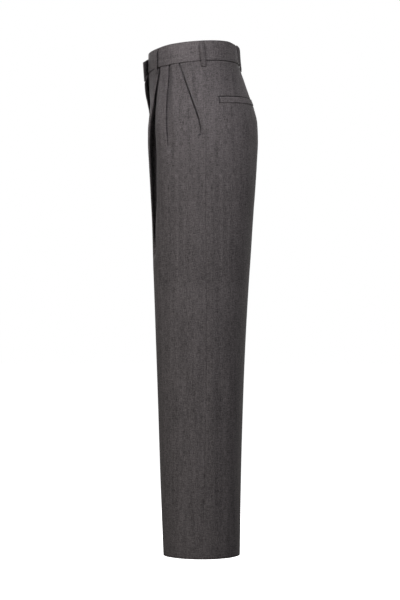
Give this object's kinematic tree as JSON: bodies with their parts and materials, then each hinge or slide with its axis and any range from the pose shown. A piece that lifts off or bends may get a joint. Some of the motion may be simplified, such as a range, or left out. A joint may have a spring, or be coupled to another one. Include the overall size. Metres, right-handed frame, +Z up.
{
  "type": "pleated dress trousers",
  "caption": "Pleated worsted dress trousers in the hollow shape they have when worn, with wide straight legs, an open fly lap, slant pockets, welt pockets and belt loops.",
  "frame": {"origin": "centre of the waist, half way up the waistband, where the wearer's waist holds the trousers", "axes": "+Z up, -Y to the front, +X to the wearer's left"},
  "size_m": [0.357, 0.2418, 1.0673],
  "materials": {
    "worsted": "matt"
  },
  "bodies": {
    "root": {"front_left": "worsted", "front_right": "worsted", "back_left": "worsted", "back_right": "worsted", "waistband_left": "worsted", "waistband_right": "worsted", "fly_facing": "worsted", "fly_shield": "worsted", "pocket_facing_left": "worsted", "pocket_facing_right": "worsted", "welt_left": "worsted", "welt_right": "worsted", "loop_front_left": "worsted", "loop_front_right": "worsted", "loop_side_left": "worsted", "loop_side_right": "worsted", "loop_back": "worsted"}
  },
  "joints": []
}
